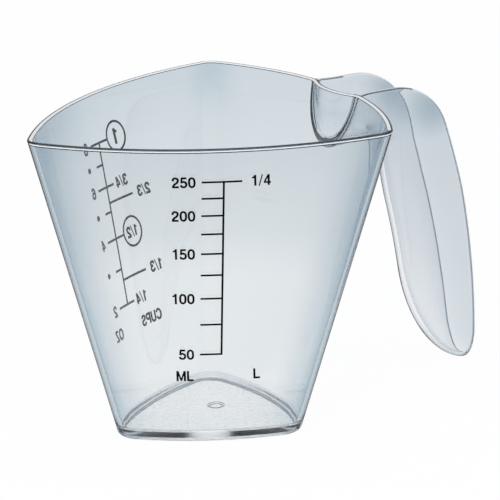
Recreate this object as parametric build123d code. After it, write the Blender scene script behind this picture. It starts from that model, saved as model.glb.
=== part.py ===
"""Clear three-sided measuring cup with a trough-shaped handle and two printed volume scales.

The origin is the middle of the underside. +X points to the handle, +Z is up, lengths are millimetres.
"""
import os
from math import asin, cos, hypot, radians, sin, sqrt

from build123d import *

# Vessel: three bowed sides between three rounded corners, wider at the rim than at the base
height = 88.0
wall = 1.5
floor_thickness = 2.5
base_corner_reach = 21.2
rim_corner_reach = 49.4
base_corner_radius = 6.9
rim_corner_radius = 5.5
base_side_radius = 82.0
rim_side_radius = 103.0
base_handle_side_radius = 68.0
rim_handle_side_radius = 88.5
rim_shift = 3.1
base_edge_radius = 1.2
floor_fillet_radius = 2.5

# Rounded dent in the wall, where the trough of the handle meets the rim
dent_height = 16.0
dent_depth = 3.5
dent_radius = 22.0

# Handle: an open trough that leaves the rim level, bends down and ends in a rounded tip
handle_wall = 1.5
handle_half_width = 10.8
handle_flare = 1.2
handle_flare_length = 6.0
handle_depth = 16.3
drop_depth = 18.7
drop_growth_length = 20.0
bend_x = 56.0
bend_radius = 18.0
drop_lean = 18.0
taper_start_height = 56.0
tip_half_width = 7.9
tip_height = 0.6
tip_width_fade_length = 12.0
tip_depth_fade_length = 33.0

# Printed scales
ink_thickness = 0.2
line_width = 0.5
numeral_height = 3.1
numeral_pitch = 2.15
numeral_stroke = 0.54
litre_edge = 100.0
cup_millilitre_count = 227.3
ounce_count = 8
metric_step_count = 25

metric_spine_base = 2.9
metric_spine_top = 6.4
metric_tick_length = 5.8
litre_tick_length = 4.8
metric_numeral_gap = 7.4
litre_numeral_gap = 9.6
metric_unit_level = 20.6

cups_spine_base = 3.5
cups_spine_top = -3.8
ounce_long_tick = 4.6
ounce_short_tick = 3.2
cup_near_tick = 3.6
ring_tick = 4.2
cup_far_tick = 11.4
ring_radius = 4.1
ounce_numeral_gap = 7.3
cup_near_gap = 7.4
cup_far_gap = 16.2
dot_radius = 0.55
cups_unit_level = 23.3
cups_unit_gap = 10.3

overrun = 4.0

# Strokes of the numerals and letters: two points make a line, three an arc, in shares of the height
glyph_shares = {
    "0": [[(.08, .28), (.28, .08), (.48, .28)], [(.48, .28), (.48, .72)],
          [(.48, .72), (.28, .92), (.08, .72)], [(.08, .72), (.08, .28)]],
    "1": [[(.32, .0), (.32, 1.0)], [(.32, .86), (.10, .72)]],
    "2": [[(.09, .68), (.28, .92), (.47, .68)], [(.47, .70), (.10, .08)], [(.04, .08), (.53, .08)]],
    "3": [[(.09, .79), (.46, .72), (.24, .53)], [(.22, .51), (.48, .29), (.07, .22)]],
    "4": [[(.40, .0), (.40, 1.0)], [(.38, .94), (.08, .30)], [(.02, .26), (.54, .26)]],
    "5": [[(.50, .92), (.10, .92)], [(.14, .96), (.10, .44)], [(.10, .47), (.48, .32), (.07, .21)]],
    "6": [[(.08, .28), (.28, .08), (.48, .28)], [(.48, .28), (.28, .48), (.08, .28)],
          [(.08, .28), (.08, .66)], [(.08, .66), (.26, .92), (.47, .76)]],
    "8": [[(.10, .28), (.28, .08), (.46, .28)], [(.46, .28), (.28, .50), (.10, .28)],
          [(.11, .71), (.28, .51), (.45, .71)], [(.45, .71), (.28, .92), (.11, .71)]],
    "/": [[(.06, -.04), (.40, 1.04)]],
    "M": [[(.08, .0), (.08, 1.0)], [(.10, .98), (.37, .06)], [(.37, .06), (.64, .98)], [(.66, .0), (.66, 1.0)]],
    "L": [[(.10, .0), (.10, 1.0)], [(.04, .08), (.54, .08)]],
    "O": [[(.08, .33), (.33, .08), (.58, .33)], [(.58, .33), (.58, .67)],
          [(.58, .67), (.33, .92), (.08, .67)], [(.08, .67), (.08, .33)]],
    "Z": [[(.06, .92), (.56, .92)], [(.52, .94), (.10, .06)], [(.04, .08), (.58, .08)]],
    "C": [[(.58, .68), (.33, .92), (.08, .67)], [(.08, .67), (.08, .33)], [(.08, .33), (.33, .08), (.58, .32)]],
    "U": [[(.08, 1.0), (.08, .31)], [(.08, .31), (.31, .08), (.54, .31)], [(.54, .31), (.54, 1.0)]],
    "P": [[(.10, .0), (.10, 1.0)], [(.06, .92), (.34, .92)], [(.34, .92), (.54, .72), (.34, .52)],
          [(.34, .52), (.06, .52)]],
    "S": [[(.48, .78), (.12, .70), (.29, .52)], [(.27, .51), (.48, .29), (.07, .21)]],
}
foot_shares = (0, 1 / 3, 2 / 3, 1)
wide_pitch_shares = {"M": 1.36, "C": 1.16, "U": 1.12, "P": 1.04, "O": 1.16, "/": 0.72}


def outline(reach, shift, corner_radius, side_radius, handle_side_radius, level):
    """Face of the vessel's outline: each side's arc runs tangent into the two corner arcs beside it."""
    corners = [Vector(shift, 0) + Vector(reach, 0).rotate(Axis.Z, turn) for turn in (-60, 60, 180)]
    radii = [handle_side_radius, side_radius, side_radius]
    sides = []
    for index, radius in enumerate(radii):
        start, end = corners[index], corners[(index + 1) % 3]
        chord = end - start
        outward = Vector(chord.Y, -chord.X).normalized()
        sink = sqrt((radius - corner_radius) ** 2 - (chord.length / 2) ** 2)
        centre = (start + end) / 2 - outward * sink
        first = centre + (start - centre).normalized() * radius
        last = centre + (end - centre).normalized() * radius
        sides.append((first, centre + outward * radius, last))
    edges = []
    for index, (first, middle, last) in enumerate(sides):
        corner = corners[(index + 1) % 3]
        following = sides[(index + 1) % 3][0]
        bulge = ((last - corner) + (following - corner)).normalized() * corner_radius
        edges += [ThreePointArc(first, middle, last), ThreePointArc(last, corner + bulge, following)]
    return Pos(0, 0, level) * make_face(edges)


def vessel_section(level, inset):
    """Outline at a height, moved inwards by the inset."""
    share = level / height

    def between(base, rim):
        return base + (rim - base) * share

    return outline(
        between(base_corner_reach, rim_corner_reach),
        rim_shift * share,
        between(base_corner_radius, rim_corner_radius) - inset,
        between(base_side_radius, rim_side_radius) - inset,
        between(base_handle_side_radius, rim_handle_side_radius) - inset,
        level,
    )


def rounded_foot(level, inset, radius):
    """Sections that round the lowest edge of a block, the last one at the full outline."""
    angles = [radians(90 * share) for share in foot_shares]
    return [vessel_section(level + radius * (1 - cos(angle)), inset + radius * (1 - sin(angle)))
            for angle in angles]


def wall_block(inset):
    """Solid inside the plain wall, above the rounded edge of the base."""
    return loft([vessel_section(base_edge_radius, inset), vessel_section(height, inset)], ruled=True)


def side_reach(level, turn):
    """Distance from the origin to the middle of a side, along the side's own direction."""
    section = vessel_section(level, 0).rotate(Axis.Z, -turn)
    return section.bounding_box().max.X


def dent_cylinder(radius):
    """Leaning cylinder that forms the dent: it meets the sloped wall in a rounded U."""
    low_level = height - dent_height
    base_x, rim_x = side_reach(0, 0), side_reach(height, 0)
    low_x = base_x + (rim_x - base_x) * low_level / height
    lean = Vector(rim_x - dent_depth - low_x, 0, dent_height).normalized()
    across = Vector(lean.Z, 0, -lean.X)
    frame = Plane(origin=(low_x, 0, low_level), x_dir=across, z_dir=lean)
    length = dent_height + 2 * overrun
    return frame * Pos(dent_radius, 0, -overrun) * Cylinder(radius, length, align=(Align.CENTER, Align.CENTER, Align.MIN))


def make_envelope():
    """Outside of the vessel as a full block, with the dent pressed in."""
    sections = rounded_foot(0, 0, base_edge_radius) + [vessel_section(height, 0)]
    return loft(sections, ruled=True) - dent_cylinder(dent_radius)


def make_cavity():
    """Space inside the vessel, rounded where the wall meets the floor."""
    sections = rounded_foot(floor_thickness, wall, floor_fillet_radius) + [vessel_section(height, wall)]
    return loft(sections, ruled=True) - dent_cylinder(dent_radius + wall)


def eased(share):
    """Share from 0 to 1 that grows fast at first and levels off, held inside its range."""
    return sin(radians(90 * min(max(share, 0), 1)))


def fade(level, low, length, power):
    """Factor that falls from 1 to 0 over the last stretch above the tip."""
    share = min(max((low + length - level) / length, 0), 1)
    return (1 - share ** 2) ** power


def make_trough(inset, rise):
    """Handle's outside, or with an inset its hollow, as a loft through half ellipses across its path."""
    bend_z = height - bend_radius
    lean = radians(drop_lean)
    low = tip_height + inset
    drop_top = bend_z + bend_radius * sin(lean)
    drop_radius = (drop_top - tip_height) / sin(lean)
    end_x = bend_x + bend_radius * cos(lean) + drop_radius * (1 - cos(lean))
    wall_x = side_reach(height, 0)
    sections = []

    def add(x, z, turn, half_width, depth):
        tangent = Vector(cos(turn), 0, -sin(turn))
        frame = Plane(origin=(x, 0, z), x_dir=(0, 1, 0), z_dir=tangent)
        hull = EllipticalCenterArc((0, 0), half_width, depth, 180, arc_size=180)
        if rise:
            right, left = hull @ 1, hull @ 0
            sides = Polyline(right, right + Vector(0, rise), left + Vector(0, rise), left)
        else:
            sides = Line(hull @ 1, hull @ 0)
        sections.append(frame * make_face([*hull.edges(), *sides.edges()]))

    for share in (-1, 0, 0.3, 0.6, 1):
        x = wall_x + handle_flare_length * share
        flare = handle_flare * (1 - max(share, 0)) ** 2
        add(x, height, 0, handle_half_width + flare - inset, handle_depth - inset)
    turned = radians(90) - lean
    for share in (0, 0.25, 0.5, 0.75, 1):
        turn = turned * share
        add(bend_x + bend_radius * sin(turn), bend_z + bend_radius * cos(turn), turn,
            handle_half_width - inset, handle_depth - inset)
    fade_top = low + tip_depth_fade_length
    levels = [drop_top + (fade_top - drop_top) * share for share in (0.15, 0.35, 0.65, 1)]
    levels += [low + tip_depth_fade_length * share for share in (0.75, 0.5, 0.34, 0.22, 0.13, 0.06, 0.02)]
    for level in levels:
        slope = asin((level - tip_height) / drop_radius)
        depth = handle_depth + (drop_depth - handle_depth) * eased((drop_top - level) / drop_growth_length)
        taper = min(max((taper_start_height - level) / (taper_start_height - tip_width_fade_length), 0), 1)
        half_width = handle_half_width + (tip_half_width - handle_half_width) * taper
        add(end_x - drop_radius * (1 - cos(slope)), level, radians(90) - slope,
            (half_width - inset) * fade(level, low, tip_width_fade_length, 0.5),
            (depth - inset) * fade(level, low, tip_depth_fade_length, 0.6))
    if not rise:
        sections.append(Vertex(end_x, 0, low))
    return loft(sections)


def wall_plane(turn):
    """Plane on a side of the vessel: its X runs to the right seen from outside, its Y up the wall."""
    low = Vector(side_reach(0, turn), 0, 0)
    high = Vector(side_reach(height, turn), 0, height)
    slope = (high - low).normalized()
    outward = Vector(slope.Z, 0, -slope.X)
    return Plane(origin=low.rotate(Axis.Z, turn), x_dir=Vector(0, 1, 0).rotate(Axis.Z, turn),
                 z_dir=outward.rotate(Axis.Z, turn))


def volume_below(level):
    """Volume that the straight-walled space holds from the floor up to a level."""
    low, high = vessel_section(0, wall).area, vessel_section(height, wall).area
    growth = sqrt(high / low) - 1

    def from_base(z):
        return low * height * ((1 + growth * z / height) ** 3 - 1) / (3 * growth)

    return from_base(level) - from_base(floor_thickness)


def level_of(millilitre_count):
    """Height at which the cup holds a volume."""
    volume = millilitre_count * litre_edge ** 3 / 1000
    low, high = floor_thickness, height
    for _ in range(30):
        middle = (low + high) / 2
        if volume_below(middle) < volume:
            low = middle
        else:
            high = middle
    return (low + high) / 2


class Scale:
    """Marks printed on one side of the vessel, drawn flat on a plane and then laid on the curved wall."""

    def __init__(self, turn, spine_base, spine_top):
        self.plane = wall_plane(turn)
        self.spine_base = spine_base
        self.spine_top = spine_top
        rise = side_reach(height, turn) - side_reach(0, turn)
        self.stretch = hypot(rise, height) / height
        self.lines = []
        self.numerals = []

    def at(self, level, offset):
        """Point beside the spine, at a height above the underside."""
        spine = self.spine_base + (self.spine_top - self.spine_base) * level / height
        return spine + offset, level * self.stretch

    def line(self, first, second):
        """Straight printed line."""
        self.lines.append(trace(Line(first, second), line_width))

    def tick(self, level, start, end):
        """Level line that crosses or touches the spine."""
        self.line(self.at(level, start), self.at(level, end))

    def ring(self, level, offset):
        """Printed ring round a numeral."""
        band = Circle(ring_radius + line_width / 2) - Circle(ring_radius - line_width / 2)
        self.lines.append(Pos(*self.at(level, offset)) * band)

    def dot(self, level, offset):
        """Printed dot in place of a numeral."""
        self.lines.append(Pos(*self.at(level, offset)) * Circle(dot_radius))

    def write(self, text, level, offset, anchor_share=0.5):
        """Numerals or letters, placed by their left end, middle or right end."""
        x, y = self.at(level, offset)
        pitches = [numeral_pitch * wide_pitch_shares.get(letter, 1) for letter in text]
        pen = x - sum(pitches) * anchor_share
        for letter, pitch in zip(text, pitches):
            for points in glyph_shares[letter]:
                placed = [(pen + px * numeral_height, y + (py - 0.5) * numeral_height) for px, py in points]
                path = Line(*placed) if len(placed) == 2 else ThreePointArc(*placed)
                self.numerals.append(trace(path, numeral_stroke))
            pen += pitch

    def pressed(self, drawing, shell):
        """Thin ink where a drawing falls on the wall."""
        flat = Sketch() + [face for piece in drawing for face in piece.faces()]
        return shell & extrude(self.plane * flat, amount=overrun, both=True)


def make_metric_scale():
    """Millilitre marks on the front side, with a litre mark at the top."""
    scale = Scale(-120, metric_spine_base, metric_spine_top)
    counts = [metric_step_count * number for number in range(2, 11)]
    bottom, top = level_of(counts[0]), level_of(counts[-1])
    scale.line(scale.at(bottom, 0), scale.at(top, 0))
    for count in counts:
        scale.tick(level_of(count), -metric_tick_length, 0)
    for count in counts[::2]:
        scale.write(str(count), level_of(count), -metric_numeral_gap, 1)
    scale.tick(top, 0, litre_tick_length)
    scale.write("1/4", top, litre_numeral_gap)
    scale.write("ML", metric_unit_level, -metric_numeral_gap, 1)
    scale.write("L", metric_unit_level, litre_numeral_gap)
    return scale


def make_cups_scale():
    """Cup marks to the left and ounce marks to the right of one spine."""
    scale = Scale(120, cups_spine_base, cups_spine_top)
    ounce = cup_millilitre_count / ounce_count
    scale.line(scale.at(level_of(2 * ounce), 0), scale.at(level_of(ounce_count * ounce), 0))
    for number in range(2, ounce_count + 1):
        level = level_of(number * ounce)
        if number % 2:
            scale.tick(level, 0, ounce_short_tick)
            scale.dot(level, ounce_numeral_gap)
        else:
            scale.tick(level, 0, ounce_long_tick)
            scale.write(str(number), level, ounce_numeral_gap)
    for text, share in (("1/4", 1 / 4), ("3/4", 3 / 4)):
        level = level_of(cup_millilitre_count * share)
        scale.tick(level, -cup_near_tick, 0)
        scale.write(text, level, -cup_near_gap)
    for text, share in (("1/3", 1 / 3), ("2/3", 2 / 3)):
        level = level_of(cup_millilitre_count * share)
        scale.tick(level, -cup_far_tick, 0)
        scale.write(text, level, -cup_far_gap)
    for text, share in (("1/2", 1 / 2), ("1", 1)):
        level = level_of(cup_millilitre_count * share)
        scale.tick(level, -ring_tick, 0)
        scale.ring(level, -ring_tick - ring_radius)
        scale.write(text, level, -ring_tick - ring_radius)
    scale.write("OZ", cups_unit_level, ounce_numeral_gap)
    scale.write("CUPS", cups_unit_level, -cups_unit_gap)
    return scale


os.makedirs("parts", exist_ok=True)

envelope = make_envelope()
cup_body = envelope - make_cavity()
handle = make_trough(0, 0) - make_trough(handle_wall, overrun) - envelope
ink_shell = wall_block(-ink_thickness) - wall_block(0)
metric, cups = make_metric_scale(), make_cups_scale()

pieces = {
    "cup_body": cup_body,
    "handle": handle,
    "metric_scale_lines": metric.pressed(metric.lines, ink_shell),
    "metric_scale_numerals": metric.pressed(metric.numerals, ink_shell),
    "cup_ounce_scale_lines": cups.pressed(cups.lines, ink_shell),
    "cup_ounce_scale_numerals": cups.pressed(cups.numerals, ink_shell),
}
for name, shape in pieces.items():
    export_step(shape, "parts/" + name + ".step")
print("brimful millilitres", round(volume_below(height) * 1000 / litre_edge ** 3, 1))
for count in (50, 100, 150, 200, 250):
    print(count, "ml at", round(level_of(count), 1))
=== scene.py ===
"""Clear measuring cup with a trough-shaped handle and two printed scales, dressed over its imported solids.

Lengths are metres. The origin is the middle of the underside, +X points to the handle and +Z is up.
"""

from math import asin, atan2, cos, hypot, pi, radians, sin, sqrt

import bmesh
import bpy
import numpy as np
from mathutils import Matrix, Vector


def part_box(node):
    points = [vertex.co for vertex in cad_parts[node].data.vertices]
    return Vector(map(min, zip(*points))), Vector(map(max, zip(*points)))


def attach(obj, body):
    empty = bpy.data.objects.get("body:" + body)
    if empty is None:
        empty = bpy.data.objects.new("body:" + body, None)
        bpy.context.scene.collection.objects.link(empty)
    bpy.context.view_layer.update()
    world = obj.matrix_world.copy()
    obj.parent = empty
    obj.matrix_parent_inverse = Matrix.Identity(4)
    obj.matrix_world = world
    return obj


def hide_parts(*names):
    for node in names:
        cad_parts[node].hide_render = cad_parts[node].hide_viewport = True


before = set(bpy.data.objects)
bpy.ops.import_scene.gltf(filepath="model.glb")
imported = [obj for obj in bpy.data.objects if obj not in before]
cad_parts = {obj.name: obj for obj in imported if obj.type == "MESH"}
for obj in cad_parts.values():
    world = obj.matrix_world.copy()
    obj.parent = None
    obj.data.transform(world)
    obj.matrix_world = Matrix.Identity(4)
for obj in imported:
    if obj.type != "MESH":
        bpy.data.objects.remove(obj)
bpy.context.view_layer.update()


# The vessel is injection moulded in one shot from clear styrene plastic: three bowed sides with rounded
# corners, a flat floor and a rounded dent in the wall where the handle's trough runs into the rim.
# Its wall is thin and even, its edges come rounded and glossy from the mould, and nothing on it is cut.
cup_low, cup_high = (Vector(corner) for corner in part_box("cup_body"))
cup_height = cup_high.z - cup_low.z
cup_wall = 0.0015
floor_thickness = 0.0025
base_corner_reach = 0.0212
rim_corner_reach = 0.0494
base_corner_radius = 0.0069
rim_corner_radius = 0.0055
base_side_radius = 0.082
rim_side_radius = 0.103
base_handle_side_radius = 0.068
rim_handle_side_radius = 0.0885
rim_shift = 0.0031
corner_directions = (-60, 60, 180)
front_direction = -120
direction_behind = 120
handle_arc, arc_behind, front_arc = 0, 2, 4
foot_radius = 0.0009
foot_recess = 0.001
foot_width = 0.0016
floor_fillet_radius = 0.0011
dent_height = 0.016
dent_depth = 0.0035
dent_radius = 0.022
dent_crease = 0.0012
dent_reach_share = 0.9
dent_crowding_share = 0.5
rim_edge_radius = 0.00036
rim_line_share = 0.8
rim_top_share = 1.8
rim_pale_steps = 4
handle_side_count = 150
scale_side_count = 56
corner_count = 14
arc_step_count = 6
foot_row_count = 5
lower_row_count = 25
upper_row_count = 38


def between(base, rim, level):
    """Value at a height, given its values at the base and at the rim."""
    return base + (rim - base) * level / cup_height


# The first six are the vessel's materials, in order. The other four are places on the rim, which rim_slot
# turns into materials.
wall_slot, edge_slot, core_slot, floor_slot, foot_slot, fillet_slot = range(6)
outer_slot, inner_slot, collar_slot, line_slot = range(6, 10)


def vessel_arcs(level, inset):
    """Side and corner arcs of the vessel's outline, each as a centre, a radius and two angles."""
    reach = between(base_corner_reach, rim_corner_reach, level)
    corner_radius = between(base_corner_radius, rim_corner_radius, level)
    side_radius = between(base_side_radius, rim_side_radius, level)
    handle_side_radius = between(base_handle_side_radius, rim_handle_side_radius, level)
    shift = np.array([between(0, rim_shift, level), 0])
    corners = [shift + reach * np.array([cos(radians(a)), sin(radians(a))]) for a in corner_directions]
    radii = [handle_side_radius, side_radius, side_radius]
    sides = []
    for index, radius in enumerate(radii):
        start, end = corners[index], corners[(index + 1) % len(corners)]
        chord = end - start
        length = np.hypot(*chord)
        outward = np.array([chord[1], -chord[0]]) / length
        centre = (start + end) / 2 - outward * sqrt((radius - corner_radius) ** 2 - (length / 2) ** 2)
        first = np.arctan2(*(start - centre)[::-1])
        last = np.arctan2(*(end - centre)[::-1])
        sides.append((centre, radius - inset, first, last + 2 * pi * (last < first)))
    arcs = []
    for index, side in enumerate(sides):
        following = (index + 1) % len(corners)
        turned = (sides[following][2] - side[3]) % (2 * pi)
        arcs += [side, (corners[following], corner_radius - inset, side[3], side[3] + turned)]
    return arcs


def dented(x, y, level, inset):
    """Moves a point of the handle side back to the dent, with a soft crease between the two surfaces."""
    low_level = cup_height - dent_height
    wall_low = between(*handle_side_reach, low_level)
    deepest = wall_low + (handle_side_reach[1] - dent_depth - wall_low) * (level - low_level) / dent_height
    across = np.minimum(abs(y), dent_radius * dent_reach_share)
    hollow = deepest + dent_radius - np.sqrt((dent_radius + inset) ** 2 - across ** 2)
    overlap = np.maximum(dent_crease - abs(x - hollow), 0) / dent_crease
    return np.where(x > 0, np.minimum(x, hollow) - overlap ** 2 * dent_crease / 4, x)


def middle_reach(level):
    """Distance from the vertical axis to the middle of the handle side."""
    centre, radius, _, _ = vessel_arcs(level, 0)[handle_arc]
    return centre[0] + radius


handle_side_reach = (middle_reach(0), middle_reach(cup_height))


def vessel_ring(level, inset):
    """Closed ring of points at one height, moved inwards by the inset and closest together at the dent."""
    counts = [handle_side_count, corner_count, scale_side_count, corner_count, scale_side_count, corner_count]
    rows = []
    for number, ((centre, radius, first, last), count) in enumerate(zip(vessel_arcs(level, inset), counts)):
        steps = np.linspace(-1, 1, count, endpoint=False)
        if number == 0:
            steps = (1 - dent_crowding_share) * steps + dent_crowding_share * steps ** 3
        angles = (first + last) / 2 + (last - first) / 2 * steps
        rows.append(np.c_[centre[0] + radius * np.cos(angles), centre[1] + radius * np.sin(angles)])
    ring = np.vstack(rows)
    ring[:, 0] = dented(ring[:, 0], ring[:, 1], level, inset)
    return np.c_[ring, np.full(len(ring), level)]


def vessel_profile():
    """Insets, heights and material slots from the foot up the outside, over the rim and down to the floor."""
    edge = rim_edge_radius
    quarter = [radians(90 * step / arc_step_count) for step in range(arc_step_count + 1)]
    foot_high = floor_thickness + foot_recess
    inner_low = floor_thickness + floor_fillet_radius
    profile = [(foot_width + foot_recess / 3, foot_recess, fillet_slot), (foot_width, 0, fillet_slot)]
    profile += [(foot_radius * (1 - sin(a)), foot_radius * (1 - cos(a)), foot_slot) for a in quarter]
    profile += [(0, level, foot_slot) for level in np.linspace(foot_radius, foot_high, foot_row_count)[1:]]
    profile[-1] = (*profile[-1][:2], wall_slot)
    dent_low = cup_height - dent_height - dent_crease
    lower = np.linspace(foot_high, dent_low, lower_row_count)[1:]
    upper = np.linspace(dent_low, cup_height - edge * 2, upper_row_count)[1:]
    profile += [(0, level, wall_slot) for level in [*lower, *upper[:-1]]]
    profile += [(0, upper[-1] - edge * rim_line_share, line_slot), (0, upper[-1], collar_slot)]
    arc = [(edge * (1 - cos(a)), cup_height - edge * (1 - sin(a))) for a in quarter]
    profile += [(inset, level, edge_slot) for inset, level in arc[:-1]]
    profile += [(edge, cup_height, outer_slot), (edge * rim_top_share, cup_height, core_slot)]
    inner_arc = arc[:0:-1]
    profile += [(cup_wall - inset, level, inner_slot) for inset, level in inner_arc[:rim_pale_steps]]
    profile += [(cup_wall - inset, level, edge_slot) for inset, level in inner_arc[rim_pale_steps:]]
    profile += [(cup_wall - arc[0][0], arc[0][1], wall_slot)]
    profile += [(cup_wall, level, wall_slot) for level in upper[::-1]]
    profile += [(cup_wall, level, wall_slot) for level in lower[::-1] if level > inner_low + foot_radius]
    fillet = floor_fillet_radius
    profile += [(cup_wall + fillet * (1 - cos(a)), inner_low - fillet * sin(a), fillet_slot) for a in quarter]
    return profile


def mesh_piece(name, vertices, faces, slots=None):
    """Smooth-shaded object from points and faces, with its normals turned outwards."""
    mesh = bpy.data.meshes.new(name)
    mesh.from_pydata([tuple(map(float, v)) for v in vertices], [], [tuple(map(int, f)) for f in faces])
    if slots:
        mesh.polygons.foreach_set("material_index", slots)
    build = bmesh.new()
    build.from_mesh(mesh)
    bmesh.ops.remove_doubles(build, verts=build.verts, dist=1e-7)
    bmesh.ops.recalc_face_normals(build, faces=build.faces)
    build.to_mesh(mesh)
    build.free()
    mesh.polygons.foreach_set("use_smooth", [len(polygon.vertices) < 5 for polygon in mesh.polygons])
    piece = bpy.data.objects.new(name, mesh)
    bpy.context.collection.objects.link(piece)
    return piece


# Painted shade and painted highlights on the rim, placed by each point's number round the ring:
pale_line_start_share = 0.7
dark_rim_overrun = 4


def rim_slot(slot, k):
    """Material slot on the rim: painted shade on top in front, elsewhere a painted highlight on top between
    two thin lines of painted shade.
    """
    behind = handle_side_count + corner_count
    front = behind + scale_side_count + corner_count // 2
    # In front the top gets painted shade and the collar below it a painted highlight; the foot keeps its
    # painted highlight only here.
    if front <= k < front + scale_side_count + corner_count + dark_rim_overrun:
        swapped = {core_slot: edge_slot, outer_slot: edge_slot, inner_slot: edge_slot,
                   collar_slot: core_slot, line_slot: edge_slot}
    else:
        pale_line = handle_side_count * pale_line_start_share < k < behind + scale_side_count // 2
        swapped = {outer_slot: wall_slot if pale_line else edge_slot, inner_slot: core_slot,
                   foot_slot: wall_slot, collar_slot: wall_slot, line_slot: wall_slot}
    return swapped.get(slot, slot)


def eased(share):
    """Share held between 0 and 1, with a soft start and end."""
    share = min(max(share, 0), 1)
    return share * share * (3 - 2 * share)


def mark(piece, name, share_at):
    """Stores a share on each point of a piece, for its material to read."""
    shares = [share_at(*vertex.co) for vertex in piece.data.vertices]
    piece.data.attributes.new(name, "FLOAT", "POINT").data.foreach_set("value", shares)


# Painted shade on the vessel wall, darkest at the corners and also near the rim behind, more towards the left
# corner:
corner_fade = 0.013
rim_fade = 0.019
behind_start = 0.018
behind_fade = 0.008
rim_shade_weight = 0.28
left_shade_weight = 0.4
left_reach = 0.055
left_fade = 0.03


def corner_share(x, y, z):
    """Share of painted shade on the vessel: 1 on a corner, fading beside it, and some near the rim behind."""
    reach = between(base_corner_reach, rim_corner_reach, z)
    reach += between(base_corner_radius, rim_corner_radius, z)
    shift = between(0, rim_shift, z)
    right_gap, back_gap, left_gap = (hypot(x - shift - reach * cos(radians(a)), y - reach * sin(radians(a)))
                                     for a in corner_directions)
    to_rim = eased((z - cup_height) / rim_fade + 1)
    outward = y * sin(radians(direction_behind)) + (x - shift) * cos(radians(direction_behind))
    behind = eased((outward - behind_start) / behind_fade)
    to_left = eased((left_reach - left_gap) / left_fade)
    near_rim = to_rim * behind * (rim_shade_weight + left_shade_weight * to_left)
    back_corner = to_rim * eased(1 - back_gap / corner_fade)
    return max(eased(1 - min(right_gap, left_gap) / corner_fade), back_corner, near_rim)


# Painted highlight along the foot, strongest in the middle of each side:
foot_least_share = 0.05
foot_gain = 0.6
foot_middle_start, foot_middle_fade = 0.45, 0.6
foot_low_share, foot_rise_share = 0.6, 0.8


def foot_share(x, y, z):
    """Share of painted light on the foot: a painted highlight in the middle of each of the three sides."""
    to_middle = eased((cos(len(corner_directions) * atan2(y, x)) - foot_middle_start) / foot_middle_fade)
    rising = eased((z / foot_radius - foot_low_share) / foot_rise_share)
    return foot_least_share + foot_gain * to_middle * rising


def make_vessel():
    """Vessel as one closed skin: rings joined by quads, closed by the underside and the floor."""
    profile = vessel_profile()
    rings = [vessel_ring(level, inset) for inset, level, _ in profile]
    count = len(rings[0])
    faces, slots = [], []
    for row in range(len(rings) - 1):
        for k in range(count):
            following = (k + 1) % count
            faces.append((row * count + k, row * count + following, (row + 1) * count + following,
                          (row + 1) * count + k))
            slots.append(rim_slot(profile[row][2], k))
    faces += [tuple(range(count))[::-1], tuple((len(rings) - 1) * count + k for k in range(count))]
    slots += [floor_slot, floor_slot]
    return mesh_piece("vessel", np.vstack(rings), faces, slots)


def linear(code):
    """Linear colour of an sRGB hex code."""
    parts = [int(code[place:place + 2], 16) / 255 for place in (1, 3, 5)]
    return tuple(p / 12.92 if p <= 0.04045 else ((p + 0.055) / 1.055) ** 2.4 for p in parts) + (1.0,)


def node(tree, kind, settings=None, **links):
    """Adds a node, sets its properties and inputs, and links the sockets that are given by name."""
    added = tree.nodes.new("ShaderNode" + kind)
    for key, value in (settings or {}).items():
        if hasattr(added, key):
            setattr(added, key, value)
        else:
            added.inputs[key].default_value = value
    for key, value in links.items():
        place = int(key[1:]) if key[0] == "i" and key[1:].isdigit() else key.replace("_", " ")
        tree.links.new(added.inputs[place], value)
    return added


def new_material(name):
    """Empty material and its output node."""
    material = bpy.data.materials.new(name)
    material.use_nodes = True
    material.node_tree.nodes.clear()
    return material, material.node_tree, material.node_tree.nodes.new("ShaderNodeOutputMaterial")


def faded(tree, value, stops):
    """Colour that changes along a value, given by stops of place and colour."""
    ramp = node(tree, "ValToRGB", Fac=value)
    elements = ramp.color_ramp.elements
    while len(elements) < len(stops):
        elements.new(0.5)
    for element, (place, code) in zip(elements, stops):
        element.position = place
        element.color = linear(code)
    return ramp.outputs[0]


# Clear styrene plastic, moulded against polished steel: glass-like and faintly cool, with an IOR of 1.57.
# Painted shade darkens its colour to blue-grey where the eye looks along the skin, and fine flow ripples bend
# what is behind it.
ripple_width = 0.018


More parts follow.
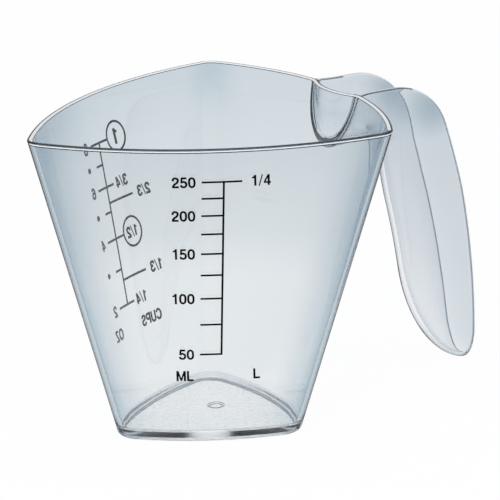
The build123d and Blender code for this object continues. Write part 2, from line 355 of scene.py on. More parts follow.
def clear_styrene(name, face_tint, grazing_shade_tint, painted_light_amount=0.0, shade_tints=None, roughness=0.01):
    """Plastic tinted by the slope to the eye, with painted shade where the eye looks along the skin.
    Shade_tints paint shade where the painted_shade_share says, and painted_light_amount is a share of pale
    diffuse that paints light, even over the material or read from the points."""
    material, tree, output = new_material(name)
    place = node(tree, "TexCoord").outputs["Object"]
    ripple = node(tree, "TexNoise", {"Scale": 1 / ripple_width, "Detail": 1.0}, Vector=place)
    bump = node(tree, "Bump", {"Strength": 0.05, "Distance": 0.0004}, Height=ripple.outputs["Fac"])
    slope = node(tree, "LayerWeight", {"Blend": 0.5}).outputs["Facing"]
    # Painted shade: the tint darkens from face_tint to grazing_shade_tint as the eye looks along the skin.
    tint = faded(tree, slope, ((0.0, face_tint), (0.45, face_tint), (0.85, grazing_shade_tint), (1.0, grazing_shade_tint)))
    # Painted shade: shaded_face_tint and shaded_grazing_tint, held in thick, are mixed in by the
    # painted_shade_share on the points.
    if shade_tints:
        shaded_face_tint, shaded_grazing_tint = shade_tints
        thick = faded(tree, slope, (
            (0.0, shaded_face_tint), (0.3, shaded_face_tint), (0.7, shaded_grazing_tint), (1.0, shaded_grazing_tint)))
        share = node(tree, "Attribute", {"attribute_name": "painted_shade_share"}).outputs["Fac"]
        tint = node(tree, "Mix", {"data_type": "RGBA"}, i0=share, i6=tint, i7=thick).outputs[2]
    plastic = node(tree, "BsdfPrincipled", {"Roughness": roughness, "IOR": 1.57, "Transmission Weight": 1.0},
                   Base_Color=tint, Normal=bump.outputs[0])
    surface = plastic.outputs[0]
    # Painted light: a share of pale diffuse mixed into the plastic.
    if painted_light_amount:
        pale_light_diffuse = node(tree, "BsdfDiffuse", {"Color": linear("#fbfcfd")}).outputs[0]
        mixed = node(tree, "MixShader", i1=surface, i2=pale_light_diffuse)
        if painted_light_amount == "painted_light_share":
            share = node(tree, "Attribute", {"attribute_name": painted_light_amount}).outputs["Fac"]
            tree.links.new(mixed.inputs[0], share)
        else:
            mixed.inputs[0].default_value = painted_light_amount
        surface = mixed.outputs[0]
    passing = node(tree, "BsdfTransparent", {"Color": linear("#e4ebf0")})
    lamp_ray = node(tree, "LightPath").outputs["Is Shadow Ray"]
    mixed = node(tree, "MixShader", i0=lamp_ray, i1=surface, i2=passing.outputs[0])
    inside = node(tree, "VolumeAbsorption", {"Color": linear("#c3cfd8"), "Density": 14.0})
    tree.links.new(output.inputs["Surface"], mixed.outputs[0])
    tree.links.new(output.inputs["Volume"], inside.outputs[0])
    return material


# The floor is the same plastic, lightly frosted, so that it reads as a pale field with a fine grain. The
# gate of the mould left a small round mark on it.
gate_middle = (0.003, 0.0016, floor_thickness)
gate_radius = 0.0023
gate_line = 0.0003
grain_width = 0.0011
grain_relief_share = 0.3


def floor_styrene():
    """Floor plastic: a fine frosted grain, and a ring of slightly deeper tint and relief round the gate."""
    material = clear_styrene("clear styrene, frosted floor", "#fafbfb", "#f2f4f5")
    tree = material.node_tree
    place = node(tree, "TexCoord").outputs["Object"]
    from_gate = node(tree, "VectorMath", {"operation": "SUBTRACT"}, i0=place)
    from_gate.inputs[1].default_value = gate_middle
    gap = node(tree, "VectorMath", {"operation": "LENGTH"}, i0=from_gate.outputs[0]).outputs["Value"]
    off_ring = node(tree, "Math", {"operation": "SUBTRACT"}, i0=gap)
    off_ring.inputs[1].default_value = gate_radius
    off_ring = node(tree, "Math", {"operation": "ABSOLUTE"}, i0=off_ring.outputs[0])
    on_ring = node(tree, "MapRange", {"From Max": gate_line, "To Min": 1.0, "To Max": 0.0},
                   Value=off_ring.outputs[0])
    grain = node(tree, "TexNoise", {"Scale": 1 / grain_width, "Detail": 3.0}, Vector=place).outputs["Fac"]
    cloud = faded(tree, grain, ((0.0, "#dbe0e3"), (0.38, "#eef0f2"), (0.46, "#ffffff"), (0.6, "#ffffff")))
    tint = node(tree, "Mix", {"data_type": "RGBA"}, i0=on_ring.outputs[0], i6=cloud)
    tint.inputs[7].default_value = linear("#9aa3ab")
    relief = node(tree, "Math", {"operation": "MULTIPLY_ADD"}, i0=grain)
    relief.inputs[1].default_value = grain_relief_share
    tree.links.new(relief.inputs[2], on_ring.outputs[0])
    bump = node(tree, "Bump", {"Strength": 0.3, "Distance": 0.0002}, Height=relief.outputs[0])
    plastic = next(item for item in tree.nodes if item.type == "BSDF_PRINCIPLED")
    tree.links.new(plastic.inputs["Base Color"], tint.outputs[2])
    tree.links.new(plastic.inputs["Normal"], bump.outputs[0])
    return material


vessel = make_vessel()
# Painted shade on the points: the corners and near the rim behind.
mark(vessel, "painted_shade_share", corner_share)
# Painted highlight on the points: the middle of each side of the foot.
mark(vessel, "painted_light_share", foot_share)
# The wall carries painted shade; the rim's rounded edge is painted dark shade, and the top of the rim, the
# foot and the inside corner of the floor carry painted light.
for plastic in (
    clear_styrene("clear styrene, moulded wall", "#f6f8f9", "#abbac6", shade_tints=("#dfe8ed", "#8fa2b0")),
    clear_styrene("clear styrene, rounded edge of the rim, painted dark shade", "#7b848c", "#545d66"),
    clear_styrene("clear styrene, top of the rim, painted highlight", "#f2f6f8", "#dfe6eb", 0.75),
    floor_styrene(),
    clear_styrene("clear styrene, foot, painted highlight", "#f3f5f6", "#c4ccd2", "painted_light_share", roughness=0.04),
    clear_styrene("clear styrene, inside corner of the floor, painted light", "#f4f6f7", "#dfe5e9", 0.35),
):
    vessel.data.materials.append(plastic)
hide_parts("cup_body")
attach(vessel, "root")


# The handle is an open trough of the same clear styrene, moulded with its hollow facing up and out, and
# welded to the vessel round the dent. It leaves the rim level, bends down and ends in a rounded tip.
handle_wall = 0.0015
handle_half_width = 0.0108
handle_flare = 0.0012
handle_depth = 0.0163
drop_depth = 0.0187
drop_growth_length = 0.020
bend_x = 0.056
bend_radius = 0.018
drop_lean = radians(18)
taper_start_height = 0.056
tip_half_width = 0.0079
tip_height = 0.0006
tip_width_fade_length = 0.012
tip_depth_fade_length = 0.033
weld_gap = 0.00004
weld_fillet = 0.0014
lip_radius = 0.0003
lip_of_wall_share = 0.47
tip_width_power = 0.5
tip_depth_power = 0.6
level_shares = (0, 0.012, 0.035, 0.07, 0.11, 0.16, 0.24, 0.36, 0.5, 0.66, 0.82)
bend_row_count = 16
drop_row_count = 24
tip_row_count = 30
tip_even_rows = 4
across_count = 48
lip_step_count = 4
far_root_rows = 8
near_root_rows = 14
weld_highlight_row = 2
root_slot = 3
tiny = 1e-9


def outer_wall_x(y, level):
    """Outside of the handle side of the vessel, dent included."""
    centre, radius, _, _ = vessel_arcs(level, 0)[handle_arc]
    return float(dented(centre[0] + sqrt(radius ** 2 - y ** 2), y, level, 0))


def fade(level, low, length, power):
    """Factor that falls from 1 to 0 over the last stretch above the tip."""
    share = min(max((low + length - level) / length, 0), 1)
    return max(1 - share ** 2, 0) ** power


def trough_rows(inset):
    """Rows of points across the trough, from the wall to the tip, moved inwards by the inset."""
    bend_z = cup_height - bend_radius
    low = tip_height + inset
    drop_top = bend_z + bend_radius * sin(drop_lean)
    drop_radius = (drop_top - tip_height) / sin(drop_lean)
    end_x = bend_x + bend_radius * cos(drop_lean) + drop_radius * (1 - cos(drop_lean))
    angles = np.linspace(0, pi, across_count + 1)
    rows = []

    def row(x, z, turn, half_width, depth):
        out = np.array([sin(turn), 0, cos(turn)])
        sink = lip_radius * min(1, depth / handle_wall)
        inward = sink + max(depth - sink, 0) * np.sin(angles)
        points = np.array([x, 0, z]) - inward[:, None] * out
        points[:, 1] = half_width * np.cos(angles)
        rows.append(points)

    for share in level_shares:
        flare = handle_flare * (1 - min(share * 2, 1)) ** 2
        near = max(1 - share * (bend_x - handle_side_reach[1]) / weld_fillet, 0) if inset else 0
        thick = inset + weld_fillet * (1 - sqrt(1 - near ** 2))
        row(bend_x, cup_height, 0, handle_half_width + flare - thick, handle_depth - thick)
        for point in rows[-1]:
            start = outer_wall_x(point[1], point[2]) + weld_gap
            point[0] = start + (bend_x - start) * share
    turned = pi / 2 - drop_lean
    for share in np.linspace(0, 1, bend_row_count):
        turn = turned * share
        row(bend_x + bend_radius * sin(turn), bend_z + bend_radius * cos(turn), turn,
            handle_half_width - inset, handle_depth - inset)
    fade_top = low + tip_depth_fade_length
    levels = list(np.linspace(drop_top, fade_top, drop_row_count)[1:])
    levels += [fade_top - tip_depth_fade_length * sin(pi / 2 * share)
               for share in np.linspace(0, 1, tip_row_count)[1:]]
    for level in levels:
        slope = asin((level - tip_height) / drop_radius)
        growth = sin(pi / 2 * min(max((drop_top - level) / drop_growth_length, 0), 1))
        depth = handle_depth + (drop_depth - handle_depth) * growth
        taper = min(max((taper_start_height - level) / (taper_start_height - tip_width_fade_length), 0), 1)
        half_width = handle_half_width + (tip_half_width - handle_half_width) * taper
        row(end_x - drop_radius * (1 - cos(slope)), level, pi / 2 - slope,
            (half_width - inset) * fade(level, low, tip_width_fade_length, tip_width_power),
            (depth - inset) * fade(level, low, tip_depth_fade_length, tip_depth_power))
    return np.array(rows)


def make_handle():
    """Handle as one closed skin: outside, inside, a rounded lip all round and the end at the weld."""
    outside, inside = trough_rows(0), trough_rows(handle_wall)
    rows, points = outside.shape[:2]
    vertices = [*outside.reshape(-1, 3), *inside.reshape(-1, 3)]
    second = rows * points
    faces, slots = [], []
    for i in range(rows - 1):
        for j in range(points - 1):
            a, b = i * points + j, (i + 1) * points + j
            faces.append((a, a + 1, b + 1, b))
            faces.append((second + a, second + b, second + b + 1, second + a + 1))
            # Painted highlight: one inside row near the weld takes the lip-top material.
            slots += [wall_slot, core_slot if i == weld_highlight_row else wall_slot]
    for j in range(points - 1):
        faces.append((j, second + j, second + j + 1, j + 1))
    quarter = [radians(90 * step / lip_step_count) for step in range(1, lip_step_count + 1)]
    steps = 2 * len(quarter) + 1
    for side, root_rows in ((0, far_root_rows), (points - 1, near_root_rows)):
        strips = []
        for i in range(rows):
            outer, inner = outside[i, side], inside[i, side]
            across = inner - outer
            thickness = np.linalg.norm(across)
            across = across / max(thickness, tiny)
            if i <= rows - tip_even_rows:
                away = outside[i, side] - outside[i, points // 2]
                away = away - across * (away @ across)
                away = away / max(np.linalg.norm(away), tiny)
            radius = min(lip_radius, thickness * lip_of_wall_share)
            arc = [outer + radius * (sin(a) * away + (1 - cos(a)) * across) for a in quarter]
            arc += [inner + radius * (sin(a) * away - (1 - cos(a)) * across) for a in quarter[::-1]]
            start = len(vertices)
            vertices += arc
            strips.append([i * points + side, *range(start, start + steps - 1), second + i * points + side])
        slots += [wall_slot] * (len(faces) - len(slots))
        for i in range(rows - 1):
            for k in range(steps):
                faces.append((strips[i][k], strips[i + 1][k], strips[i + 1][k + 1], strips[i][k + 1]))
            # Lip edges near the rim take painted dark shade, the rest the lip-edge material, and the middle
            # of the lip a painted highlight.
            side_slot = edge_slot if i > root_rows else root_slot
            slots += [side_slot] * (steps // 2) + [core_slot] + [side_slot] * (steps // 2)
        faces += [tuple(strips[0]), tuple(strips[-1])]
    slots += [wall_slot] * (len(faces) - len(slots))
    return mesh_piece("handle_trough", vertices, faces, slots)


# Painted shade on the handle, towards its right lip along the grip and at both lips in the bend:
right_lip_start, right_lip_fade = 0.55, 0.3
grip_start, grip_fade = 0.002, 0.010
grip_low_share, grip_fall_share = 0.62, 0.58
both_lips_start, both_lips_fade = 0.5, 0.45
bend_forward, bend_below, bend_reach = 0.013, 0.007, 0.014


def lip_share(x, y, z):
    """Share of painted shade on the handle: fuller to its right lip along the grip, and at both lips in the
    bend.
    """
    half_width = handle_half_width - (handle_half_width - tip_half_width) * eased(1 - z / taper_start_height)
    on_grip = eased((x - bend_x - grip_start) / grip_fade)
    to_right = eased((-y / half_width - right_lip_start) / right_lip_fade) * on_grip
    to_lip = eased((abs(y) / half_width - both_lips_start) / both_lips_fade)
    bend = eased(1 - hypot(x - bend_x - bend_forward, z - cup_height + bend_below) / bend_reach)
    return max((grip_low_share - grip_fall_share * z / cup_height) * to_right, bend * to_lip)


handle = make_handle()
mark(handle, "painted_shade_share", lip_share)
# The handle's wall carries painted shade; its lip edges carry painted light and shade, and the top of the lip
# a painted highlight.
for plastic in (
    clear_styrene("clear styrene, moulded handle", "#f5f7f9", "#93a4b1", shade_tints=("#c0cdd6", "#8fa0ae")),
    clear_styrene("clear styrene, rounded edge of the lip", "#ccd3d9", "#a0abb4", 0.6),
    clear_styrene("clear styrene, top of the lip, painted highlight", "#f2f6f8", "#dfe6eb", 0.6),
    clear_styrene("clear styrene, edge of the lip near the rim", "#98a1a9", "#6d7780"),
):
    handle.data.materials.append(plastic)
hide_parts("handle")
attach(handle, "root")


# The two scales are screen printed on the outside of the vessel in one black ink, a few hundredths of a
# millimetre thick: millilitres and a litre mark in front, cups and ounces on the side behind.
ink_thickness = 0.00004
ink_gap_share = 0.2
numeral_height = 0.0031
litre_edge = 0.1  # Edge of the cube that holds one litre
millilitres_per_litre = 1000
halving_count = 30
curve_step_count = 6
tick_step_count = 8
spine_step_count = 24
ring_step_count = 48
dot_step_count = 20


# Bold sans-serif numerals and letters as strokes, in shares of their height: an advance, then the strokes,
# each with its width, whether it closes on itself, and its points. Three points or more make a smooth curve.
glyph_gap_share = 0.07
bold = 0.185
thin = 0.145
slash = 0.10
glyphs = {
    "0": (0.69, [
        (bold, True, [(.31, .917), (.49, .80), (.54, .5), (.49, .20), (.31, .083), (.13, .20), (.08, .5),
                      (.13, .80)]),
    ]),
    "1": (0.69, [
        (bold, False, [(.39, 0), (.39, 1)]),
        (thin, False, [(.12, .76), (.24, .785), (.32, .85), (.36, .96)]),
    ]),
    "2": (0.69, [
        (bold, False, [(.09, .64), (.13, .83), (.31, .917), (.49, .83), (.525, .68), (.44, .50),
                       (.25, .35), (.13, .20), (.09, .06)]),
        (bold, False, [(.03, .083), (.59, .083)]),
    ]),
    "3": (0.69, [
        (bold, False, [(.09, .70), (.14, .86), (.30, .917), (.46, .86), (.50, .73), (.43, .58),
                       (.23, .53)]),
        (bold, False, [(.23, .53), (.45, .50), (.535, .30), (.46, .13), (.30, .083), (.13, .14),
                       (.075, .30)]),
    ]),
    "4": (0.69, [
        (bold, False, [(.43, 0), (.43, 1)]),
        (thin, False, [(.40, .95), (.08, .33)]),
        (thin + 0.01, False, [(.02, .27), (.61, .27)]),
    ]),
    "5": (0.69, [
        (bold, False, [(.14, .917), (.56, .917)]),
        (bold * .9, False, [(.165, .98), (.115, .46)]),
        (bold, False, [(.11, .47), (.19, .56), (.32, .585), (.48, .51), (.54, .33), (.47, .14),
                       (.30, .083), (.13, .14), (.075, .28)]),
    ]),
    "6": (0.69, [
        (bold, True, [(.32, .56), (.48, .50), (.54, .32), (.48, .14), (.32, .083), (.15, .14), (.09, .32),
                      (.15, .50)]),
        (bold, False, [(.085, .32), (.085, .58), (.14, .80), (.32, .917), (.47, .87), (.53, .74)]),
    ]),
    "8": (0.69, [
        (bold, True, [(.31, .917), (.45, .87), (.50, .74), (.45, .60), (.31, .54), (.17, .60), (.12, .74),
                      (.17, .87)]),
        (bold, True, [(.31, .53), (.48, .47), (.54, .30), (.48, .13), (.31, .083), (.14, .13), (.08, .30),
                      (.14, .47)]),
    ]),
    "/": (0.40, [
        (slash, False, [(.02, -.03), (.31, 1.03)]),
    ]),
    "M": (0.92, [
        (bold, False, [(.09, 0), (.09, 1)]),
        (thin, False, [(.12, .97), (.41, .05)]),
        (thin, False, [(.41, .05), (.70, .97)]),
        (bold, False, [(.73, 0), (.73, 1)]),
    ]),
    "L": (0.66, [
        (bold, False, [(.09, 0), (.09, 1)]),
        (bold, False, [(.05, .083), (.57, .083)]),
    ]),
    "O": (0.88, [
        (bold, True, [(.405, .925), (.62, .82), (.72, .5), (.62, .18), (.405, .075), (.19, .18),
                      (.09, .5), (.19, .82)]),
    ]),
    "Z": (0.70, [
        (bold, False, [(.04, .917), (.60, .917)]),
        (bold, False, [(.53, .88), (.10, .12)]),
        (bold, False, [(.02, .083), (.61, .083)]),
    ]),
    "C": (0.82, [
        (bold, False, [(.65, .68), (.56, .86), (.38, .925), (.18, .82), (.09, .5), (.18, .18),
                       (.38, .075), (.57, .15), (.66, .34)]),
    ]),
    "U": (0.80, [
        (bold, False, [(.09, 1), (.09, .60), (.09, .30), (.17, .12), (.35, .075), (.53, .12), (.61, .30),
                       (.61, .60), (.61, 1)]),
    ]),
    "P": (0.72, [
        (bold, False, [(.09, 0), (.09, 1)]),
        (bold, False, [(.09, .917), (.36, .917), (.52, .86), (.57, .70), (.52, .53), (.36, .465),
                       (.09, .465)]),
    ]),
    "S": (0.72, [
        (bold, False, [(.56, .70), (.49, .86), (.32, .925), (.15, .86), (.11, .72), (.19, .58),
                       (.36, .51), (.52, .42), (.56, .27), (.48, .13), (.31, .075), (.13, .13),
                       (.07, .31)]),
    ]),
}


def smooth_path(points, closed):
    """Curve that runs smoothly through the points of a stroke."""
    points = [np.array(p) for p in points]
    count = len(points)
    curve = []
    for k in range(count if closed else count - 1):
        b, c = points[k], points[(k + 1) % count]
        a = points[k - 1] if (closed or k) else 2 * b - c
        d = points[(k + 2) % count] if (closed or k < count - 2) else 2 * c - b
        for t in np.linspace(0, 1, curve_step_count, endpoint=False):
            curve.append(0.5 * (2 * b + (c - a) * t + (2 * a - 5 * b + 4 * c - d) * t ** 2
                                + (3 * b - a - 3 * c + d) * t ** 3))
    return curve if closed else curve + [points[-1]]


def volume_below(level):
    """Volume that the straight-walled space holds from the floor up to a level."""
    def area(height):
        ring = vessel_ring(height, cup_wall)[:, :2]
        following = np.roll(ring, -1, axis=0)
        return abs(np.sum(ring[:, 0] * following[:, 1] - ring[:, 1] * following[:, 0])) / 2

    low, high = area(0), area(cup_height - dent_height)
    growth = (sqrt(high / low) - 1) * cup_height / (cup_height - dent_height)
    return low * cup_height * ((1 + growth * level / cup_height) ** 3
                               - (1 + growth * floor_thickness / cup_height) ** 3) / (3 * growth)


def level_of(millilitre_count):
    """Height at which the cup holds a volume."""
    low, high = floor_thickness, cup_height
    for _ in range(halving_count):
        middle = (low + high) / 2
        if volume_below(middle) < millilitre_count * litre_edge ** 3 / millilitres_per_litre:
            low = middle
        else:
            high = middle
    return (low + high) / 2


class PrintedScale:
    """Marks of one side of the vessel, placed by a height and an offset from the scale's spine."""

    def __init__(self, name, arc_number, direction, spine_base, spine_top, line_width, weight):
        self.name = name
        self.arc_number = arc_number
        self.turn = radians(direction)
        self.spine_base = spine_base
        self.spine_top = spine_top
        self.line_width = line_width
        self.weight = weight
        self.vertices = []
        self.faces = []

    def spine(self, level):
        """Offset of the spine from the middle of the side."""
        return between(self.spine_base, self.spine_top, level)

    def on_wall(self, across, level, out):
        """Point on the curved wall: across to the right seen from outside, and out from the surface."""
        centre, radius, _, _ = vessel_arcs(level, 0)[self.arc_number]
        spin = Matrix.Rotation(-self.turn, 2)
        local = spin @ Vector(centre)
        reach = local.x + sqrt(radius ** 2 - (across - local.y) ** 2)
        normal = Vector((reach - local.x, across - local.y)).normalized()
        point = spin.inverted() @ (Vector((reach, across)) + normal * out)
        return (point.x, point.y, level)

    def add(self, points, faces):
        """Adds a flat patch as a thin closed slab of ink; points are (across, level) pairs."""
        start = len(self.vertices)
        count = len(points)
        for out in (ink_thickness * ink_gap_share, ink_thickness * (1 + ink_gap_share)):
            self.vertices += [self.on_wall(a, level, out) for a, level in points]
        border = {}
        for face in faces:
            for a, b in zip(face, face[1:] + face[:1]):
                if (b, a) in border:
                    del border[(b, a)]
                else:
                    border[(a, b)] = True
        self.faces += [tuple(start + k for k in face)[::-1] for face in faces]
        self.faces += [tuple(start + count + k for k in face) for face in faces]
        self.faces += [(start + a, start + b, start + count + b, start + count + a) for a, b in border]

    def band(self, path, width, closed=False):
        """Line of one width along a path of (across, level) points."""
        path = [np.array(p) for p in path]
        points = []
        for k, p in enumerate(path):
            before = path[k - 1] if (k or closed) else p
            after = path[(k + 1) % len(path)] if (k < len(path) - 1 or closed) else p
            along = (after - before) / max(np.hypot(*(after - before)), 1e-12)
            side = np.array([-along[1], along[0]]) * width / 2
            points += [tuple(p - side), tuple(p + side)]
        last = len(path) if closed else len(path) - 1
        wrap = 2 * len(path)
        faces = [(2 * k, (2 * k + 2) % wrap, (2 * k + 3) % wrap, 2 * k + 1) for k in range(last)]
        self.add(points, faces)

    def tick(self, level, start, end):
        """Level line, given by its offsets from the spine."""
        spine = self.spine(level)
        steps = range(tick_step_count + 1)
        path = [(spine + start + (end - start) * step / tick_step_count, level) for step in steps]
        self.band(path, self.line_width)

    def rule(self, low, high):
        """The spine itself, from the lowest mark to the highest."""
        levels = np.linspace(low - self.line_width / 2, high + self.line_width / 2, spine_step_count)
        self.band([(self.spine(level), level) for level in levels], self.line_width)

    def ring(self, level, offset, radius):
        """Ring round a numeral."""
        angles = np.linspace(0, 2 * pi, ring_step_count, endpoint=False)
        middle = self.spine(level) + offset
        path = [(middle + radius * cos(a), level + radius * sin(a)) for a in angles]
        self.band(path, self.line_width, closed=True)

    def dot(self, level, offset, radius):
        """Dot in place of a numeral."""
        angles = np.linspace(0, 2 * pi, dot_step_count, endpoint=False)
        middle = self.spine(level) + offset
        points = [(middle + radius * cos(a), level + radius * sin(a)) for a in angles]
        self.add(points, [list(range(dot_step_count))])

    def write(self, text, level, offset, anchor_share=0.5, height=numeral_height):
        """Bold upright numerals or letters, placed by their left end, middle or right end."""
        advances = [glyphs[letter][0] for letter in text]
        pen = self.spine(level) + offset - (sum(advances) - glyph_gap_share) * height * anchor_share
        for letter, advance in zip(text, advances):
            for width_share, closed, points in glyphs[letter][1]:
                path = smooth_path(points, closed) if len(points) > 2 else points
                placed = [(pen + x * height, level + (y - 0.5) * height) for x, y in path]
                self.band(placed, width_share * height * self.weight, closed)
            pen += advance * height

    def piece(self):
        """The finished print as an object."""
        return mesh_piece(self.name, self.vertices, self.faces)


# Screen-printing ink on plastic, which looks dense black with a low satin gleam and a slightly uneven film.
film_grain_width = 0.0004


def printed_ink():
    """Black ink with the fine relief of its mesh."""
    material, tree, output = new_material("black screen ink, printed")
    place = node(tree, "TexCoord").outputs["Object"]
    film = node(tree, "TexNoise", {"Scale": 1 / film_grain_width, "Detail": 2.0}, Vector=place)
    bump = node(tree, "Bump", {"Strength": 0.1, "Distance": 0.00002}, Height=film.outputs["Fac"])
    ink = node(tree, "BsdfPrincipled", {
        "Base Color": linear("#060607"), "Roughness": 0.6, "IOR": 1.5, "Specular IOR Level": 0.1,
    }, Normal=bump.outputs[0])
    tree.links.new(output.inputs["Surface"], ink.outputs[0])
    return material


ink = printed_ink()


def finish_print(scale, node_name):
    """Seats a finished print in place of its solid."""
    piece = scale.piece()
    piece.data.materials.append(ink)
    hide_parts(node_name)
    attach(piece, "root")


metric_low_count, metric_high_count, metric_step_count = 50, 250, 25
metric_spine_base, metric_spine_top = 0.0029, 0.0064
metric_tick_length = 0.0058
litre_tick_length = 0.0048
metric_numeral_gap = 0.0074
litre_numeral_gap = 0.0096
metric_unit_level = 0.0206
metric_line_width = 0.00054
metric_weight = 1

metric_side = (front_arc, front_direction, metric_spine_base, metric_spine_top,
               metric_line_width, metric_weight)
metric_lines = PrintedScale("metric_marks", *metric_side)
metric_figures = PrintedScale("metric_figures", *metric_side)
metric_counts = range(metric_low_count, metric_high_count + 1, metric_step_count)
metric_top = level_of(metric_counts[-1])
metric_lines.rule(level_of(metric_counts[0]), metric_top)
for count in metric_counts:
    metric_lines.tick(level_of(count), -metric_tick_length, 0)
metric_lines.tick(metric_top, 0, litre_tick_length)
for count in metric_counts[::2]:
    metric_figures.write(str(count), level_of(count), -metric_numeral_gap, 1)
metric_figures.write("1/4", metric_top, litre_numeral_gap)
metric_figures.write("ML", metric_unit_level, -metric_numeral_gap, 1)
metric_figures.write("L", metric_unit_level, litre_numeral_gap)
finish_print(metric_lines, "metric_scale_lines")
finish_print(metric_figures, "metric_scale_numerals")


# Cups stand to the left and ounces to the right of one spine on the side behind, seen from outside, so
# from the front they read backwards through the plastic. Whole and half cups are ringed, odd ounces dotted.
cup_millilitre_count = 227.3
ounce_count = 8
first_ounce_count = 2
cups_line_width = 0.00063
cups_weight = 1.2
cups_spine_base, cups_spine_top = 0.0035, -0.0038
ounce_long_tick = 0.0046
ounce_short_tick = 0.0032
cup_near_tick = 0.0036
cup_far_tick = 0.0114
ring_tick = 0.0042
ring_radius = 0.0041
whole_cup_height = 0.0044
ounce_numeral_gap = 0.0073
cup_near_gap = 0.0074
cup_far_gap = 0.0162
dot_radius = 0.00078
cups_unit_level = 0.0233
cups_unit_gap = 0.0103

cups_side = (arc_behind, direction_behind, cups_spine_base, cups_spine_top, cups_line_width, cups_weight)
cups_lines = PrintedScale("cups_and_ounces_marks", *cups_side)
cups_figures = PrintedScale("cups_and_ounces_figures", *cups_side)
ounce = cup_millilitre_count / ounce_count
cups_lines.rule(level_of(first_ounce_count * ounce), level_of(ounce_count * ounce))
for number in range(first_ounce_count, ounce_count + 1):
    level = level_of(number * ounce)
    if number % 2:
        cups_lines.tick(level, 0, ounce_short_tick)
        cups_lines.dot(level, ounce_numeral_gap, dot_radius)
    else:
        cups_lines.tick(level, 0, ounce_long_tick)
        cups_figures.write(str(number), level, ounce_numeral_gap)
for text, share, tick, gap in (
    ("1/4", 1 / 4, cup_near_tick, cup_near_gap),
    ("3/4", 3 / 4, cup_near_tick, cup_near_gap),
    ("1/3", 1 / 3, cup_far_tick, cup_far_gap),
    ("2/3", 2 / 3, cup_far_tick, cup_far_gap),
):
    level = level_of(cup_millilitre_count * share)
    cups_lines.tick(level, -tick, 0)
    cups_figures.write(text, level, -gap)
for text, share, height in (("1/2", 1 / 2, numeral_height), ("1", 1, whole_cup_height)):
    level = level_of(cup_millilitre_count * share)
    cups_lines.tick(level, -ring_tick, 0)
    cups_lines.ring(level, -ring_tick - ring_radius, ring_radius)
    cups_figures.write(text, level, -ring_tick - ring_radius, height=height)
cups_figures.write("OZ", cups_unit_level, ounce_numeral_gap)
cups_figures.write("CUPS", cups_unit_level, -cups_unit_gap)
finish_print(cups_lines, "cup_ounce_scale_lines")
finish_print(cups_figures, "cup_ounce_scale_numerals")


# The stage is a white table that runs far back in a pale studio, and the camera sees both as white. What the
# plastic mirrors or lets through is the same table with a painted pool of light round the cup, white near it
# and cooler and darker further off, and above the horizon a pale wall, a dim upper room and a white ceiling,
# which draw the dark edges of clear plastic.
def ray_share(tree, *names):
    """1 for the named kinds of ray, and 0 for the rest."""
    path = node(tree, "LightPath")
    total = path.outputs[names[0]]
    for name in names[1:]:
        total = node(tree, "Math", {"operation": "MAXIMUM"}, i0=total, i1=path.outputs[name]).outputs[0]
    return total


table_reach = 0.5
table_size = 3.0
table_drop = 0.0001
table_glow_share = 0.96
mirrored_table = 0.3
light_pool_middle = (0.03, 0.06, 0)
table_material, table_tree, table_output = new_material("white table, painted")
spot = node(table_tree, "NewGeometry").outputs["Position"]
off_pool = node(table_tree, "VectorMath", {"operation": "SUBTRACT"}, i0=spot)
off_pool.inputs[1].default_value = light_pool_middle
from_pool = node(table_tree, "VectorMath", {"operation": "LENGTH"}, i0=off_pool.outputs[0]).outputs["Value"]
near_share = node(table_tree, "Math", {"operation": "DIVIDE"}, i0=from_pool)
near_share.inputs[1].default_value = table_reach
# Painted pool of light on the table, seen only in and through the plastic: white near light_pool_middle,
# cooler and darker further off.
painted_light_pool = faded(table_tree, near_share.outputs[0], (
    (0.0, "#ffffff"), (0.12, "#ffffff"), (0.22, "#eff2f4"),
    (0.42, "#e1e6ea"), (0.62, "#dae1e6"), (1.0, "#d0d9e0")))
strength = node(table_tree, "MapRange", {"To Min": mirrored_table},
                Value=ray_share(table_tree, "Is Transmission Ray"))
seen_through = node(table_tree, "Emission", Color=painted_light_pool, Strength=strength.outputs[0])
seen_white = node(table_tree, "Emission", {"Color": (1, 1, 1, 1), "Strength": 1.0})
table_paint = node(table_tree, "BsdfDiffuse", {"Color": linear("#f2f3f4")})
glow_share = node(table_tree, "Math", {"operation": "MULTIPLY"}, i0=ray_share(table_tree, "Is Camera Ray"))
glow_share.inputs[1].default_value = table_glow_share
lit_table = node(table_tree, "MixShader", i0=glow_share.outputs[0], i1=table_paint.outputs[0],
                 i2=seen_white.outputs[0])
table_mix = node(table_tree, "MixShader", i0=ray_share(table_tree, "Is Glossy Ray", "Is Transmission Ray"),
                 i1=lit_table.outputs[0], i2=seen_through.outputs[0])
table_tree.links.new(table_output.inputs["Surface"], table_mix.outputs[0])
table_corners = [(x * table_size, y * table_size, -table_drop)
                 for x, y in ((-1, -1), (1, -1), (1, 1), (-1, 1))]
table = mesh_piece("table", table_corners, [(0, 1, 2, 3)])
table.data.materials.append(table_material)

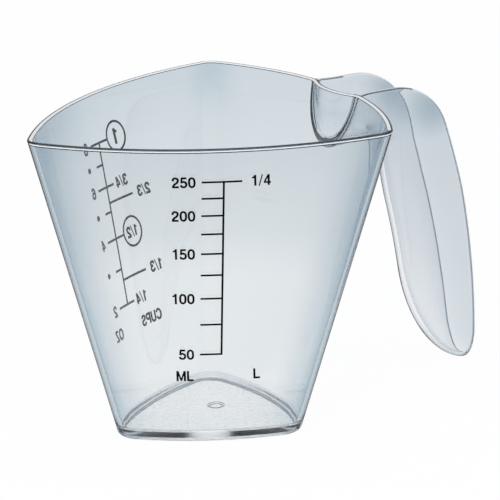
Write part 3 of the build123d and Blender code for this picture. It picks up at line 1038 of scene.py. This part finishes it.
mirrored_studio = 0.6
world = bpy.data.worlds.new("pale studio")
bpy.context.scene.world = world
world.use_nodes = True
world_tree = world.node_tree
world_tree.nodes.clear()
ray = node(world_tree, "TexCoord").outputs["Generated"]
height_of_ray = node(world_tree, "SeparateXYZ", i0=ray).outputs["Z"]
room = node(world_tree, "Background", {"Color": linear("#e6eaee"), "Strength": 0.75})
mirror_share = node(world_tree, "MapRange", {"To Min": mirrored_studio},
                    Value=ray_share(world_tree, "Is Transmission Ray"))
walls_and_ceiling = faded(world_tree, height_of_ray, (
    (0.0, "#cdd8e0"), (0.12, "#dde5ea"), (0.42, "#dbe2e7"),
    (0.60, "#606c76"), (0.80, "#e8ecf0"), (1.0, "#ffffff")))
studio = node(world_tree, "Background", Color=walls_and_ceiling, Strength=mirror_share.outputs[0])
wall_light = node(world_tree, "Background", {"Color": (1, 1, 1, 1), "Strength": 1.0})
bounced = node(world_tree, "MixShader", i0=ray_share(world_tree, "Is Glossy Ray", "Is Transmission Ray"),
               i1=room.outputs[0], i2=studio.outputs[0])
room_mix = node(world_tree, "MixShader", i0=ray_share(world_tree, "Is Camera Ray"), i1=bounced.outputs[0],
                i2=wall_light.outputs[0])
world_output = world_tree.nodes.new("ShaderNodeOutputWorld")
world_tree.links.new(world_output.inputs["Surface"], room_mix.outputs[0])


def soft_lamp(name, place, target, size, power):
    """Large square lamp that faces a point."""
    lamp = bpy.data.lights.new(name, "AREA")
    lamp.shape = "SQUARE"
    lamp.size = size
    lamp.energy = power
    holder = bpy.data.objects.new(name, lamp)
    holder.location = place
    holder.rotation_euler = (Vector(target) - Vector(place)).to_track_quat("-Z", "Y").to_euler()
    holder.visible_glossy = False
    holder.visible_transmission = False
    bpy.context.collection.objects.link(holder)


lamp_aim = (0, 0, 0.05)
lamp_size = 0.5
soft_lamp("window lamp", (-0.7, -0.5, 0.7), lamp_aim, lamp_size, 6.0)
soft_lamp("fill lamp", (0.6, -0.7, 0.5), lamp_aim, lamp_size, 2.5)


# The camera stands where the photograph was taken from, fitted to the outlines and the printed marks.
camera_place = Vector((-0.381449, -0.678354, 0.296732))
camera_aim = Vector((0.0108, -0.0063, 0.0483))
camera_roll = radians(1.5286)
camera_lens = 214.08
camera_data = bpy.data.cameras.new("photo camera")
camera_data.sensor_width = 36.0
camera_data.lens = camera_lens
camera_data.clip_start = 0.01
camera = bpy.data.objects.new("photo camera", camera_data)
aim = (camera_aim - camera_place).to_track_quat("-Z", "Y")
camera.rotation_euler = (aim.to_matrix() @ Matrix.Rotation(-camera_roll, 3, "Z")).to_euler()
camera.location = camera_place
bpy.context.collection.objects.link(camera)
bpy.context.scene.camera = camera
bpy.context.scene.view_settings.view_transform = "Standard"
